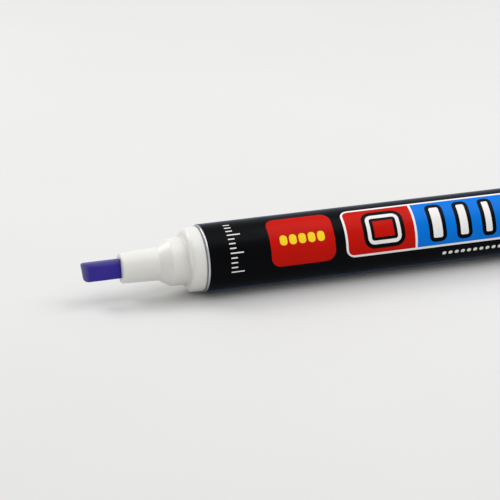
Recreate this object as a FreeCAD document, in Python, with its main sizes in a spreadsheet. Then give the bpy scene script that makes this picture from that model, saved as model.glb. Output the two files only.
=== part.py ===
import FreeCAD, Part

import os
import re

import Sketcher

# A two-ended, valve-action paint marker. Millimetres, +X along the barrel, +Z up.
# The chisel end points to -X with its cap off; the bullet end points to +X with its cap on,
# and the chisel cap is posted on the tail of the bullet cap.
# The origin lies on the surface that the marker rests on, below the middle of its length.

SIZES = [
    # Barrel
    ("barrel_length", 104.0, "aluminium tube, end to end"),
    ("barrel_diameter", 16.0, "outside of the label, and across the flats of the cap collars"),
    ("label_film", 0.1, "thickness of the printed film sleeve"),
    ("label_inset", 0.4, "bare rim of the tube outside the label, at each end"),
    ("tube_wall", 0.4, "wall of the aluminium tube"),
    ("tube_end_round", 0.2, "rounding of the rolled tube ends"),
    ("slip", 0.02, "radial clearance of pieces pressed into each other"),
    # Divider between the two paint chambers
    ("divider_length", 9.0, "plug in the middle of the tube"),
    ("divider_web", 1.4, "wall across the middle of the plug"),
    ("divider_skirt", 1.9, "wall around the plug, grooves included"),
    ("ring_section", 1.1, "section of the divider's sealing rings"),
    ("ring_spacing", 4.6, "distance between the two sealing rings"),
    # Tip holders
    ("gasket_thickness", 0.25, "flat gasket between a holder and the tube"),
    ("gasket_inset", 0.3, "gasket edge below the barrel's surface"),
    ("gasket_seat", 0.7, "depth of the neck that the gasket lies in"),
    ("plug_length", 9.0, "holder inside the tube"),
    ("flange_length", 3.45, "visible flange of a holder"),
    ("flange_inset", 0.4, "flange edge below the barrel's surface, at the back"),
    ("flange_taper", 0.2, "further drop of the flange edge, at the front"),
    ("flange_round", 1.15, "soft front edge of the flange"),
    ("flange_back_round", 0.08, "back edge of the flange"),
    ("land_root_round", 0.55, "hollow corner between flange and land"),
    ("land_length", 3.8, "cylinder that the cap grips"),
    ("land_step", 2.4, "land below the barrel's surface"),
    ("land_draft", 0.1, "drop of the land towards its front"),
    ("shoulder_round", 0.5, "rounding where land, cone and nozzle meet"),
    ("nozzle_draft", 0.3, "drop of a nozzle towards its front"),
    ("mouth_round", 0.35, "rounding of the nozzle's mouth"),
    ("chisel_cone_length", 2.75, "cone between land and nozzle, chisel end"),
    ("chisel_nozzle_length", 8.7, "nozzle of the chisel end"),
    ("chisel_nozzle_wall", 1.09, "nozzle wall at the nib's corners, at the mouth"),
    ("bullet_cone_length", 3.2, "cone between land and nozzle, bullet end"),
    ("bullet_nozzle_length", 6.4, "nozzle of the bullet end"),
    ("bullet_nozzle_wall", 1.15, "nozzle wall around the bullet nib, at the mouth"),
    # Nibs
    ("nib_fit", 0.06, "clearance of a nib in its nozzle, each side"),
    ("nib_back", 7.0, "back end of both nibs, outside the tube's end"),
    ("nib_travel", 1.2, "stroke that opens a valve"),
    ("chisel_nib_width", 4.4, "broad face of the chisel nib"),
    ("chisel_nib_thickness", 2.2, "thickness of the chisel nib"),
    ("chisel_nib_out", 9.2, "chisel nib in front of its nozzle"),
    ("chisel_nib_slant", 0.65, "lower front corner behind the upper one"),
    ("chisel_upper_round", 0.6, "upper front corner of the chisel nib"),
    ("chisel_lower_round", 0.9, "lower front corner of the chisel nib"),
    ("chisel_bevel", 0.6, "bevel around the front of the broad faces"),
    ("chisel_bevel_depth", 0.45, "depth of that bevel"),
    ("chisel_roll", 12.0, "turn of the chisel nib about the barrel's axis, degrees"),
    ("bullet_nib_diameter", 2.2, "bullet nib"),
    ("bullet_nib_out", 3.0, "bullet nib in front of its nozzle"),
    # Valves
    ("guide_start", 10.0, "back of the nib's guide, outside the tube's end"),
    ("pad_lip", 0.24, "valve stem pad beyond the corners of the chisel nib"),
    ("pad_thickness", 1.4, "valve stem pad behind the nib"),
    ("pad_gap", 0.3, "clearance around the pad"),
    ("rod_diameter", 2.0, "rod of the valve stem"),
    ("seat_depth", 1.0, "front of the valve seat inside the tube's end"),
    ("seat_thickness", 1.6, "rubber valve seat"),
    ("seat_hole", 3.2, "opening of the valve seat"),
    ("seal_gap", 0.02, "gap between the closed valve and its seat"),
    ("poppet_diameter", 5.6, "disc that closes the seat"),
    ("poppet_thickness", 1.2, "thickness of that disc"),
    ("boss_diameter", 2.4, "boss that centres the spring"),
    ("boss_length", 1.5, "length of that boss"),
    ("cage_diameter", 9.96, "valve cage and valve seat"),
    ("cage_length", 10.9, "valve cage behind the seat"),
    ("cage_wall", 1.0, "wall of the valve cage"),
    ("cage_hole", 2.0, "hole in the back of the cage"),
    ("window_width", 2.6, "side windows of the cage"),
    ("window_length", 2.6, "side windows of the cage, along the axis"),
    ("spring_diameter", 3.4, "valve spring, middle of the wire"),
    ("spring_wire", 0.35, "wire of the valve spring"),
    ("spring_turns", 7.0, "turns of the valve spring"),
    # Caps
    ("cap_step", 0.5, "cap surface below the barrel's surface"),
    ("cap_gap", 0.3, "cap mouth in front of the flange, or of the other cap's shoulder"),
    ("cap_fit", 0.04, "radial clearance of a cap liner on the land"),
    ("liner_wall", 0.65, "liner around the land"),
    ("liner_inset", 0.8, "liner behind the cap's mouth"),
    ("liner_spare", 0.8, "liner grip beyond the cone of the chisel end"),
    ("liner_floor", 0.6, "walls across the liner"),
    ("liner_tube_wall", 0.48, "liner around the nozzle"),
    ("nozzle_gap", 0.35, "radial clearance of the liner around the nozzle"),
    ("nib_clearance", 1.5, "room in front of the capped chisel nib"),
    ("liner_end_gap", 0.1, "gap between the liner's end and the cap's end"),
    ("cap_end_wall", 1.2, "closed end of a cap"),
    ("tail_length", 6.8, "stepped tail that the other cap is posted on"),
    ("shoulder_wall", 1.6, "cap wall at the step to the tail"),
    ("collar_start", 1.6, "hexagonal collar behind the cap's mouth"),
    ("collar_length", 6.5, "length of the hexagonal collar"),
    ("collar_round", 0.7, "rounding of the collar's corners"),
    ("collar_chamfer", 0.45, "chamfer at the collar's ends"),
    ("flute_radius", 1.2, "grip flutes of a cap"),
    ("flute_depth", 0.3, "depth of the grip flutes"),
    ("flute_inset", 1.2, "flutes behind the collar and in front of the shoulder"),
    ("flute_count", 12.0, "number of grip flutes"),
    ("cap_edge_round", 0.3, "rim of the cap's mouth"),
    ("tail_edge_round", 0.7, "edges of the shoulder and of the tail's end"),
    # Mixing balls
    ("ball_diameter", 6.0, "steel mixing balls"),
    ("ball_gap", 0.05, "gap under a ball in the tube"),
    ("ball_inset", 4.0, "ball behind the valve cage, at rest"),
]

doc = FreeCAD.newDocument("Marker")
sheet = doc.addObject("Spreadsheet::Sheet", "Sizes")
for row, (alias, number, meaning) in enumerate(SIZES, start=1):
    sheet.set("A%d" % row, meaning)
    sheet.set("B%d" % row, str(number))
    sheet.setAlias("B%d" % row, alias)
doc.recompute()

ALIASES = {alias for alias, number, meaning in SIZES}


def bound(formula):
    """A formula in size names, as an expression on the sheet's cells."""
    return re.sub(r"[a-z_]+", lambda word: "Sizes." + word[0] if word[0] in ALIASES else word[0], formula)


def value(formula):
    """The number that a formula in size names gives."""
    return float(sheet.evalExpression(bound(formula)))


# Places and diameters that several pieces share. Lengths at the ends of the barrel are measured
# outward from the end of the tube.
TUBE = "(barrel_diameter - 2 * label_film)"
TUBE_BORE = f"({TUBE} - 2 * tube_wall)"
PLUG = f"({TUBE_BORE} - 2 * slip)"
NECK = f"({PLUG} - 2 * gasket_seat)"
LAND = "(barrel_diameter - 2 * land_step)"
LAND_TIP = f"({LAND} - 2 * land_draft)"
FLANGE_FRONT = "(gasket_thickness + flange_length)"
LAND_END = f"({FLANGE_FRONT} + land_length)"
CHISEL_CORNERS = "sqrt(chisel_nib_width ^ 2 + chisel_nib_thickness ^ 2)"
CONE_END = {end: f"({LAND_END} + {end}_cone_length)" for end in ("chisel", "bullet")}
NOZZLE_END = {end: f"({CONE_END[end]} + {end}_nozzle_length)" for end in ("chisel", "bullet")}
NIB_TIP = {end: f"({NOZZLE_END[end]} + {end}_nib_out)" for end in ("chisel", "bullet")}
NOZZLE_TIP = {
    "chisel": f"({CHISEL_CORNERS} + 2 * chisel_nozzle_wall)",
    "bullet": "(bullet_nib_diameter + 2 * bullet_nozzle_wall)",
}
NOZZLE = {end: f"({NOZZLE_TIP[end]} + 2 * nozzle_draft)" for end in ("chisel", "bullet")}
PAD = f"({CHISEL_CORNERS} + 2 * pad_lip)"
CHAMBER = f"({PAD} + 2 * pad_gap)"
CAGE_BORE = "(cage_diameter + 2 * slip)"
SEAT_BACK = "(-seat_depth - seat_thickness)"
CAGE_BACK = f"({SEAT_BACK} - cage_length)"
POPPET_BACK = f"({SEAT_BACK} - seal_gap - poppet_thickness)"

# The caps, measured from their mouths towards their closed ends.
CAP = "(barrel_diameter - 2 * cap_step)"
LINER_BORE = f"({LAND} + 2 * cap_fit)"
SHELL_BORE = f"({LINER_BORE} + 2 * liner_wall + 2 * slip)"
LINER_STEP = "(land_length + chisel_cone_length + liner_spare)"
LINER_TUBE_BORE = f"({NOZZLE['chisel']} + 2 * nozzle_gap)"
LINER_TUBE = f"({LINER_TUBE_BORE} + 2 * liner_tube_wall)"
LINER_DEPTH = f"({NIB_TIP['chisel']} - {FLANGE_FRONT} - cap_gap + nib_clearance)"
LINER_END = f"({LINER_DEPTH} + liner_floor)"
CAP_INSIDE = f"({LINER_END} + liner_end_gap)"
CAP_LENGTH = f"({CAP_INSIDE} + cap_end_wall)"
CAP_SHOULDER = f"({CAP_LENGTH} - tail_length)"
TAIL_BORE = f"({LINER_TUBE} + 2 * slip)"
COLLAR_END = "(collar_start + collar_length)"

# Where the pieces lie along X: the barrel is shifted so that the whole marker is centred.
REACH_LEFT = f"(barrel_length / 2 + {NIB_TIP['chisel']})"
REACH_CAP = f"(barrel_length / 2 + {FLANGE_FRONT} + cap_gap)"
REACH_POSTED = f"({REACH_CAP} + {CAP_SHOULDER} + cap_gap)"
REACH_RIGHT = f"({REACH_POSTED} + {CAP_LENGTH})"
BARREL_X = f"(({REACH_LEFT} - {REACH_RIGHT}) / 2)"
AXIS_Z = "(barrel_diameter / 2)"
END_X = {
    "chisel": f"({BARREL_X} - barrel_length / 2)",
    "bullet": f"({BARREL_X} + barrel_length / 2)",
}
CAP_X = {
    "bullet": f"({BARREL_X} + {REACH_CAP})",
    "chisel": f"({BARREL_X} + {REACH_POSTED})",
}
X_AXIS = FreeCAD.Vector(1, 0, 0)
Y_AXIS = FreeCAD.Vector(0, 1, 0)
Z_AXIS = FreeCAD.Vector(0, 0, 1)
TOLERANCE = 1e-4

parts = []


def new_body(label):
    """An empty body for one piece."""
    body = doc.addObject("PartDesign::Body", label)
    body.Label = label
    parts.append(body)
    return body


def origin_part(body, role):
    """A plane or axis of a body's own origin."""
    return next(item for item in body.Origin.OriginFeatures if item.Role == role)


def place(part, along, turn=FreeCAD.Rotation()):
    """Put a piece on the barrel's axis, at a formula along X."""
    part.Placement = FreeCAD.Placement(FreeCAD.Vector(value(along), 0, value(AXIS_Z)), turn)
    part.setExpression("Placement.Base.x", bound(along))
    part.setExpression("Placement.Base.z", bound(AXIS_Z))


def end_turn(end):
    """The rotation of a piece of one end: the chisel end is turned to -X and rolled with its nib."""
    if end == "bullet":
        return FreeCAD.Rotation()
    roll = FreeCAD.Rotation(X_AXIS, value("chisel_roll"))
    return FreeCAD.Rotation(Z_AXIS, 180).multiply(roll)


def new_sketch(body, name, role, along="0"):
    """A sketch on an origin plane, moved along the plane's normal by a formula."""
    sketch = body.newObject("Sketcher::SketchObject", name)
    sketch.AttachmentSupport = [(origin_part(body, role), "")]
    sketch.MapMode = "FlatFace"
    sketch.AttachmentOffset = FreeCAD.Placement(Z_AXIS * value(along), FreeCAD.Rotation())
    sketch.setExpression("AttachmentOffset.Base.z", bound(along))
    return sketch


def bind_point(sketch, geometry, point, name, formulas):
    """Tie a point of a sketch to two formulas, measured from the origin."""
    for kind, formula in zip(("DistanceX", "DistanceY"), formulas):
        index = sketch.addConstraint(
            Sketcher.Constraint(kind, -1, 1, geometry, point, value(formula)))
        sketch.renameConstraint(index, name + kind[-1])
        sketch.setExpression("Constraints." + name + kind[-1], bound(formula))


def draw_outline(sketch, corners):
    """A closed outline whose corners are pairs of formulas."""
    points = [FreeCAD.Vector(value(x), value(y), 0) for x, y in corners]
    count = len(points)
    for index in range(count):
        sketch.addGeometry(Part.LineSegment(points[index], points[(index + 1) % count]))
    for index in range(count):
        sketch.addConstraint(Sketcher.Constraint("Coincident", index, 2, (index + 1) % count, 1))
        bind_point(sketch, index, 1, "corner%d" % index, corners[index])


def draw_circle(sketch, centre, radius):
    """A circle with its centre and radius given by formulas."""
    middle = FreeCAD.Vector(value(centre[0]), value(centre[1]), 0)
    index = sketch.addGeometry(Part.Circle(middle, Z_AXIS, value(radius)))
    bind_point(sketch, index, 3, "centre%d" % index, centre)
    size = sketch.addConstraint(Sketcher.Constraint("Radius", index, value(radius)))
    sketch.renameConstraint(size, "radius%d" % index)
    sketch.setExpression("Constraints.radius%d" % index, bound(radius))


def rectangle(low, high):
    """The corners of an upright rectangle between two points."""
    return [(low[0], low[1]), (high[0], low[1]), (high[0], high[1]), (low[0], high[1])]


def turned(body, name, corners):
    """Turn an outline of (along, radius) corners about the X axis."""
    sketch = new_sketch(body, name + "Outline", "XY_Plane")
    draw_outline(sketch, corners)
    feature = body.newObject("PartDesign::Revolution", name)
    feature.Profile = sketch
    feature.ReferenceAxis = (sketch, ["H_Axis"])
    feature.Angle = 360
    sketch.Visibility = False
    doc.recompute()
    return feature


def cut(body, name, sketch, length=None, towards_normal=True):
    """Cut a sketch out of the body: by a length along the normal, or through all both ways."""
    before = body.Shape.Volume
    feature = body.newObject("PartDesign::Pocket", name)
    feature.Profile = sketch
    if length is None:
        feature.Type = "ThroughAll"
        feature.Midplane = True
    else:
        feature.Type = "Length"
        feature.Length = value(length)
        feature.setExpression("Length", bound(length))
        feature.Reversed = towards_normal
    sketch.Visibility = False
    doc.recompute()
    if body.Shape.Volume > before - TOLERANCE:
        raise RuntimeError(body.Label + ": " + name + " cuts nothing")
    return feature


def polar(body, name, feature, count, angle):
    """Repeat a feature about the X axis."""
    pattern = body.newObject("PartDesign::PolarPattern", name)
    pattern.Originals = [feature]
    pattern.Axis = (origin_part(body, "X_Axis"), [""])
    pattern.Angle = angle
    pattern.Occurrences = int(value(count))
    pattern.setExpression("Occurrences", bound(count))
    body.Tip = pattern
    doc.recompute()
    return pattern


def ring_edges(body, rings):
    """The names of the round edges at (along, radius) formulas."""
    names = []
    for along, radius in rings:
        found = [
            "Edge%d" % number
            for number, edge in enumerate(body.Shape.Edges, start=1)
            if isinstance(edge.Curve, Part.Circle)
            and abs(edge.Curve.Center.x - value(along)) < TOLERANCE
            and abs(edge.Curve.Radius - value(radius)) < TOLERANCE
            and abs(edge.Curve.Center.y) + abs(edge.Curve.Center.z) < TOLERANCE
        ]
        if not found:
            raise RuntimeError("%s: no round edge at %s" % (body.Label, along))
        names += found
    return names


def dress(body, kind, name, edges, size, size_name):
    """Round or chamfer edges of the body, by a formula."""
    base = body.Tip
    feature = body.newObject("PartDesign::" + kind, name)
    feature.Base = (base, edges)
    setattr(feature, size_name, value(size))
    feature.setExpression(size_name, bound(size))
    body.Tip = feature
    doc.recompute()
    if "Invalid" in feature.State:
        raise RuntimeError(body.Label + ": " + name + " can't be made")
    return feature


def round_rings(body, name, rings, radius):
    """Round the circular edges at (along, radius) formulas."""
    edges = ring_edges(in_own_frame(body), rings)
    return dress(body, "Fillet", name, edges, radius, "Radius")


def in_own_frame(body):
    """A body that is still at its own origin, so that its edges can be found by their place."""
    if not body.Placement.isIdentity():
        raise RuntimeError(body.Label + " was placed before it was finished")
    return body


# ---------------------------------------------------------------- barrel

def make_barrel_tube():
    """The drawn aluminium tube that holds the paint."""
    body = new_body("barrel_tube")
    half = "barrel_length / 2"
    turned(body, "Wall", rectangle(
        ("-" + half, f"{TUBE_BORE} / 2"), (half, f"{TUBE} / 2")))
    round_rings(body, "RolledEnds", [
        ("-" + half, f"{TUBE} / 2"), (half, f"{TUBE} / 2")], "tube_end_round")
    place(body, BARREL_X)


def make_barrel_label():
    """The printed film sleeve around the tube."""
    body = new_body("barrel_label")
    half = "(barrel_length / 2 - label_inset)"
    turned(body, "Film", rectangle(
        ("-" + half, f"{TUBE} / 2"), (half, "barrel_diameter / 2")))
    place(body, BARREL_X)


def make_chamber_divider():
    """The plug that keeps the two paint chambers apart, with grooves for its sealing rings."""
    body = new_body("chamber_divider")
    outside = f"{PLUG} / 2"
    inside = f"({PLUG} / 2 - divider_skirt)"
    groove = f"({PLUG} / 2 - ring_section - slip)"
    half = "divider_length / 2"
    web = "divider_web / 2"
    far = "(ring_spacing / 2 + ring_section / 2 + slip)"
    near = "(ring_spacing / 2 - ring_section / 2 - slip)"
    turned(body, "DoubleCup", [
        ("-" + half, inside), ("-" + half, outside),
        ("-" + far, outside), ("-" + far, groove), ("-" + near, groove), ("-" + near, outside),
        (near, outside), (near, groove), (far, groove), (far, outside),
        (half, outside), (half, inside), (web, inside), (web, "0"),
        ("-" + web, "0"), ("-" + web, inside)])
    place(body, BARREL_X)


def make_divider_seals():
    """Two rubber rings in the divider's grooves."""
    rings = []
    for number, side in enumerate(("-", ""), start=1):
        ring = doc.addObject("Part::Torus", "DividerRing%d" % number)
        ring.setExpression("Radius1", bound(f"{TUBE_BORE} / 2 - slip - ring_section / 2"))
        ring.setExpression("Radius2", bound("ring_section / 2"))
        ring.Placement = FreeCAD.Placement(FreeCAD.Vector(), FreeCAD.Rotation(Y_AXIS, 90))
        ring.setExpression("Placement.Base.x", bound(side + "ring_spacing / 2"))
        rings.append(ring)
    seals = doc.addObject("Part::Compound", "divider_seals")
    seals.Label = "divider_seals"
    seals.Links = rings
    parts.append(seals)
    place(seals, BARREL_X)


# ---------------------------------------------------------------- tip holders

def make_holder(end):
    """The moulded holder of one tip: plug in the tube, flange, land for the cap, cone and nozzle."""
    body = new_body(end + "_holder")
    land_tip = f"{LAND_TIP} / 2"
    flange_back = "(barrel_diameter / 2 - flange_inset)"
    flange_front = "(barrel_diameter / 2 - flange_inset - flange_taper)"
    turned(body, "Holder", [
        ("-plug_length", f"{CAGE_BORE} / 2"), ("-plug_length", f"{PLUG} / 2"), ("0", f"{PLUG} / 2"),
        ("0", f"{NECK} / 2"), ("gasket_thickness", f"{NECK} / 2"), ("gasket_thickness", flange_back),
        (FLANGE_FRONT, flange_front), (FLANGE_FRONT, f"{LAND} / 2"),
        (LAND_END, land_tip), (CONE_END[end], f"{NOZZLE[end]} / 2"),
        (NOZZLE_END[end], f"{NOZZLE_TIP[end]} / 2"), (NOZZLE_END[end], "0"),
        ("guide_start", "0"), ("guide_start", f"{CHAMBER} / 2"),
        ("-seat_depth", f"{CHAMBER} / 2"), ("-seat_depth", f"{CAGE_BORE} / 2")])
    round_rings(body, "FlangeFront", [(FLANGE_FRONT, flange_front)], "flange_round")
    round_rings(body, "FlangeBack", [("gasket_thickness", flange_back)], "flange_back_round")
    round_rings(body, "LandRoot", [(FLANGE_FRONT, f"{LAND} / 2")], "land_root_round")
    round_rings(body, "Shoulders", [
        (LAND_END, land_tip), (CONE_END[end], f"{NOZZLE[end]} / 2")], "shoulder_round")
    round_rings(body, "Mouth", [(NOZZLE_END[end], f"{NOZZLE_TIP[end]} / 2")], "mouth_round")
    guide = new_sketch(body, "GuideOutline", "YZ_Plane")
    if end == "chisel":
        half_thickness = "(chisel_nib_thickness / 2 + nib_fit)"
        half_width = "(chisel_nib_width / 2 + nib_fit)"
        draw_outline(guide, rectangle(
            ("-" + half_thickness, "-" + half_width), (half_thickness, half_width)))
    else:
        draw_circle(guide, ("0", "0"), "bullet_nib_diameter / 2 + nib_fit")
    cut(body, "Guide", guide, NOZZLE_END[end])
    place(body, END_X[end], end_turn(end))


def make_gasket(end):
    """The flat rubber gasket between the holder's flange and the tube's end."""
    body = new_body(end + "_holder_gasket")
    turned(body, "Gasket", rectangle(
        ("0", f"{NECK} / 2 + slip"), ("gasket_thickness", "barrel_diameter / 2 - gasket_inset")))
    place(body, END_X[end], end_turn(end))


# ---------------------------------------------------------------- nibs

def make_chisel_nib():
    """A flat bar of felt with a slanted, bevelled front."""
    body = new_body("chisel_nib")
    sketch = new_sketch(body, "BarOutline", "XZ_Plane")
    half_width = "chisel_nib_width / 2"
    tip = NIB_TIP["chisel"]
    draw_outline(sketch, [
        ("nib_back", "-" + half_width), (f"{tip} - chisel_nib_slant", "-" + half_width),
        (tip, half_width), ("nib_back", half_width)])
    bar = body.newObject("PartDesign::Pad", "Bar")
    bar.Profile = sketch
    bar.Midplane = True
    bar.setExpression("Length", bound("chisel_nib_thickness"))
    doc.recompute()
    for name, side, radius in (("Upper", 1, "chisel_upper_round"), ("Lower", -1, "chisel_lower_round")):
        corner = [
            "Edge%d" % number
            for number, edge in enumerate(body.Shape.Edges, start=1)
            if edge.CenterOfMass.x > value(tip) - value("chisel_nib_slant") - TOLERANCE
            and abs(edge.CenterOfMass.y) < TOLERANCE
            and edge.CenterOfMass.z * side > value(half_width) - TOLERANCE
        ]
        dress(body, "Fillet", name + "Corner", corner, radius, "Radius")
    for name, side in (("Near", -1), ("Far", 1)):
        front = [
            "Edge%d" % number
            for number, edge in enumerate(body.Shape.Edges, start=1)
            if edge.CenterOfMass.y * side > value("chisel_nib_thickness / 2") - TOLERANCE
            and edge.CenterOfMass.x > value(NOZZLE_END["chisel"])
            and edge.BoundBox.XMin > value("guide_start")
        ]
        bevel = dress(body, "Chamfer", name + "Bevel", front, "chisel_bevel_depth", "Size")
        bevel.ChamferType = "Two distances"
        bevel.setExpression("Size2", bound("chisel_bevel"))
        doc.recompute()
    place(body, END_X["chisel"], end_turn("chisel"))


def make_bullet_nib():
    """A round felt rod with a rounded point."""
    body = new_body("bullet_nib")
    radius = "bullet_nib_diameter / 2"
    tip = NIB_TIP["bullet"]
    turned(body, "Rod", rectangle(("nib_back", "0"), (tip, radius)))
    round_rings(body, "Point", [(tip, radius)], "bullet_nib_diameter * 0.42")
    place(body, END_X["bullet"], end_turn("bullet"))


# ---------------------------------------------------------------- valves

def make_valve_stem(end):
    """The plunger behind a nib: pad, rod, poppet and spring boss."""
    body = new_body(end + "_valve_stem")
    poppet_front = f"({SEAT_BACK} - seal_gap)"
    turned(body, "Stem", [
        ("nib_back", "0"), ("nib_back", f"{PAD} / 2"),
        ("nib_back - pad_thickness", f"{PAD} / 2"), ("nib_back - pad_thickness", "rod_diameter / 2"),
        (poppet_front, "rod_diameter / 2"), (poppet_front, "poppet_diameter / 2"),
        (POPPET_BACK, "poppet_diameter / 2"), (POPPET_BACK, "boss_diameter / 2"),
        (f"{POPPET_BACK} - boss_length", "boss_diameter / 2"), (f"{POPPET_BACK} - boss_length", "0")])
    place(body, END_X[end], end_turn(end))


def make_valve_seat(end):
    """The rubber washer that the poppet closes against."""
    body = new_body(end + "_valve_seat")
    turned(body, "Seat", rectangle(
        (SEAT_BACK, "seat_hole / 2"), ("-seat_depth", "cage_diameter / 2")))
    place(body, END_X[end], end_turn(end))


def make_valve_cage(end):
    """The cup that holds the spring, with windows for the paint."""
    body = new_body(end + "_valve_cage")
    inside = "(cage_diameter / 2 - cage_wall)"
    turned(body, "Cup", [
        (CAGE_BACK, "cage_hole / 2"), (CAGE_BACK, "cage_diameter / 2"),
        (SEAT_BACK, "cage_diameter / 2"), (SEAT_BACK, inside),
        (f"{CAGE_BACK} + cage_wall", inside), (f"{CAGE_BACK} + cage_wall", "cage_hole / 2")])
    window = new_sketch(body, "WindowOutline", "XY_Plane")
    draw_outline(window, rectangle(
        (f"{CAGE_BACK} + cage_wall", "-window_width / 2"),
        (f"{CAGE_BACK} + cage_wall + window_length", "window_width / 2")))
    pair = cut(body, "WindowPair", window)
    polar(body, "Windows", pair, "2", 180)
    place(body, END_X[end], end_turn(end))


def make_valve_spring(end):
    """The wire spring between the cage's back and the poppet."""
    room = f"({POPPET_BACK} - {CAGE_BACK} - cage_wall)"
    rise = f"({room} - spring_wire - 2 * slip)"
    title = end.capitalize()
    coil = doc.addObject("Part::Helix", title + "Coil")
    coil.SegmentLength = 1
    coil.setExpression("Radius", bound("spring_diameter / 2"))
    coil.setExpression("Height", bound(rise))
    coil.setExpression("Pitch", bound(f"{rise} / spring_turns"))
    wire = doc.addObject("Part::Circle", title + "Wire")
    wire.setExpression("Radius", bound("spring_wire / 2"))
    wire.Placement = FreeCAD.Placement(FreeCAD.Vector(), FreeCAD.Rotation(X_AXIS, 90))
    wire.setExpression("Placement.Base.x", bound("spring_diameter / 2"))
    doc.recompute()
    spring = doc.addObject("Part::Sweep", end + "_valve_spring")
    spring.Label = end + "_valve_spring"
    spring.Sections = [wire]
    spring.Spine = (coil, ["Edge%d" % (number + 1) for number in range(len(coil.Shape.Edges))])
    spring.Solid = True
    spring.Frenet = True
    parts.append(spring)
    side = "-" if end == "chisel" else "+"
    start = f"({CAGE_BACK} + cage_wall + slip + spring_wire / 2)"
    place(spring, f"{END_X[end]} {side} {start}",
          FreeCAD.Rotation(Y_AXIS, -90 if end == "chisel" else 90))


# ---------------------------------------------------------------- caps

def make_cap(end):
    """A moulded cap: mouth, hexagonal collar, fluted body and stepped tail."""
    body = new_body(end + "_cap")
    turned(body, "Shell", [
        ("0", f"{SHELL_BORE} / 2"), ("0", f"{CAP} / 2"),
        (CAP_SHOULDER, f"{CAP} / 2"), (CAP_SHOULDER, f"{LAND} / 2"),
        (CAP_LENGTH, f"{LAND} / 2"), (CAP_LENGTH, "0"),
        (CAP_INSIDE, "0"), (CAP_INSIDE, f"{TAIL_BORE} / 2"),
        (f"{CAP_SHOULDER} - shoulder_wall", f"{TAIL_BORE} / 2"),
        (f"{CAP_SHOULDER} - shoulder_wall", f"{SHELL_BORE} / 2")])
    round_rings(body, "MouthEdge", [("0", f"{CAP} / 2")], "cap_edge_round")
    round_rings(body, "TailEdges", [
        (CAP_SHOULDER, f"{CAP} / 2"), (CAP_LENGTH, f"{LAND} / 2")], "tail_edge_round")

    hexagon = new_sketch(body, "CollarOutline", "YZ_Plane", "collar_start")
    flat = "barrel_diameter / 2"
    corner = "(barrel_diameter / sqrt(3))"
    draw_outline(hexagon, [
        (corner, "0"), (f"{corner} / 2", flat), (f"-{corner} / 2", flat),
        ("-" + corner, "0"), (f"-{corner} / 2", "-" + flat), (f"{corner} / 2", "-" + flat)])
    draw_circle(hexagon, ("0", "0"), f"({CAP} + {SHELL_BORE}) / 4")
    collar = body.newObject("PartDesign::Pad", "Collar")
    collar.Profile = hexagon
    collar.setExpression("Length", bound("collar_length"))
    doc.recompute()
    long_edges = [
        "Edge%d" % number
        for number, edge in enumerate(body.Shape.Edges, start=1)
        if edge.CenterOfMass.sub(X_AXIS * edge.CenterOfMass.x).Length > value(f"{corner} - 0.01")
    ]
    dress(body, "Fillet", "CollarCorners", long_edges, "collar_round", "Radius")
    collar_ends = [
        "Edge%d" % number
        for number, edge in enumerate(body.Shape.Edges, start=1)
        if min(abs(edge.CenterOfMass.x - value(place_x)) for place_x in ("collar_start", COLLAR_END))
        < TOLERANCE
        and abs(edge.BoundBox.XLength) < TOLERANCE
        and edge.CenterOfMass.sub(X_AXIS * edge.CenterOfMass.x).Length > value(f"{CAP} / 2")
    ]
    dress(body, "Chamfer", "CollarEnds", collar_ends, "collar_chamfer", "Size")

    flute_start = f"({COLLAR_END} + flute_inset)"
    flute = new_sketch(body, "FluteOutline", "YZ_Plane", flute_start)
    draw_circle(flute, ("0", f"{CAP} / 2 + flute_radius - flute_depth"), "flute_radius")
    groove = cut(body, "Flute", flute, f"{CAP_SHOULDER} - tail_edge_round - flute_inset - {flute_start}")
    polar(body, "Flutes", groove, "flute_count", 360)
    place(body, CAP_X[end])


def make_cap_liner(end):
    """The soft liner in a cap: a sleeve that grips the land and a closed tube around the nozzle."""
    body = new_body(end + "_cap_liner")
    turned(body, "Liner", [
        ("liner_inset", f"{LINER_BORE} / 2"), ("liner_inset", f"{SHELL_BORE} / 2 - slip"),
        (f"{LINER_STEP} + liner_floor", f"{SHELL_BORE} / 2 - slip"),
        (f"{LINER_STEP} + liner_floor", f"{LINER_TUBE} / 2"),
        (LINER_END, f"{LINER_TUBE} / 2"), (LINER_END, "0"),
        (LINER_DEPTH, "0"), (LINER_DEPTH, f"{LINER_TUBE_BORE} / 2"),
        (LINER_STEP, f"{LINER_TUBE_BORE} / 2"), (LINER_STEP, f"{LINER_BORE} / 2")])
    place(body, CAP_X[end])


# ---------------------------------------------------------------- mixing balls

def make_mixing_ball(end):
    """The steel ball that stirs the paint of one chamber, at rest near the valve."""
    ball = doc.addObject("Part::Sphere", end + "_mixing_ball")
    ball.Label = end + "_mixing_ball"
    ball.setExpression("Radius", bound("ball_diameter / 2"))
    parts.append(ball)
    inward = "+" if end == "chisel" else "-"
    start = f"(ball_inset + ball_diameter / 2 - {CAGE_BACK})"
    place(ball, f"{END_X[end]} {inward} {start}")
    height = f"{AXIS_Z} - {TUBE_BORE} / 2 + ball_gap + ball_diameter / 2"
    ball.setExpression("Placement.Base.z", bound(height))


make_barrel_tube()
make_barrel_label()
make_chamber_divider()
make_divider_seals()
make_chisel_nib()
make_bullet_nib()
for tip in ("chisel", "bullet"):
    make_holder(tip)
    make_gasket(tip)
    make_valve_stem(tip)
    make_valve_seat(tip)
    make_valve_cage(tip)
    make_valve_spring(tip)
    make_cap(tip)
    make_cap_liner(tip)
    make_mixing_ball(tip)
doc.recompute()

for item in doc.Objects:
    if "Invalid" in item.State or "Error" in item.State:
        raise RuntimeError(item.Label + " is in state " + str(item.State))
for part in parts:
    if part.Shape.isNull() or not part.Shape.isValid():
        raise RuntimeError(part.Label + " has no valid shape")

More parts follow.
